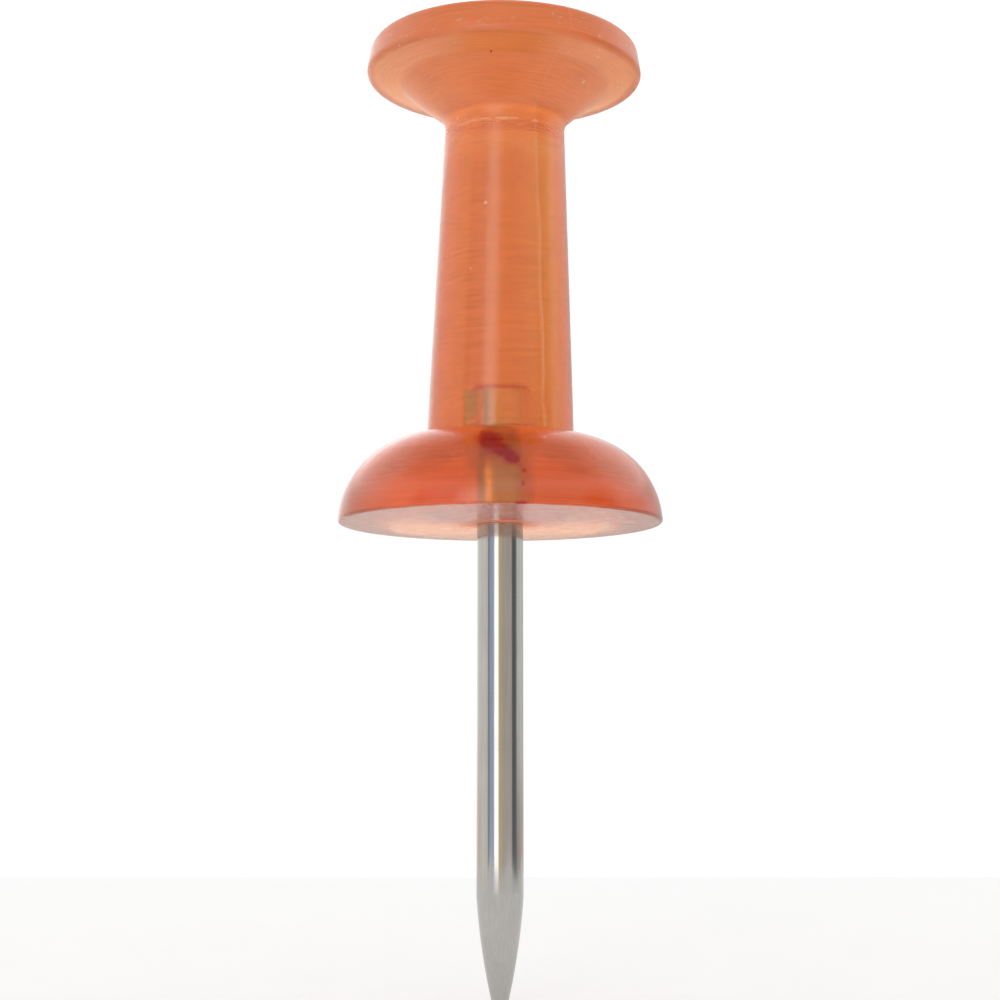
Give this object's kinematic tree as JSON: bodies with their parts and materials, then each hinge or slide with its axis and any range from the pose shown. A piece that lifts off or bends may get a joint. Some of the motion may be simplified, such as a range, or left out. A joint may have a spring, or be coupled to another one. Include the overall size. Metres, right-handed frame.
{
  "type": "push pin",
  "caption": "Push pin: translucent moulded handle with a flat domed shoulder, tapered barrel and thumb disc, on a tapered steel point for pinning paper to a board.",
  "frame": {"origin": "centre of the shoulder's flat underside, where the pin leaves the handle", "axes": "+Z along the pin's axis towards the thumb disc; the point is at -Z; round about Z, so X and Y are free"},
  "size_m": [0.0088, 0.0088, 0.0261],
  "materials": {
    "orange_plastic": "translucent, gloss, with fine turning marks from the mould",
    "plated_steel": "bright drawn wire, nickel plated"
  },
  "bodies": {
    "root": {"handle": "orange_plastic", "steel_pin": "plated_steel"}
  },
  "joints": []
}
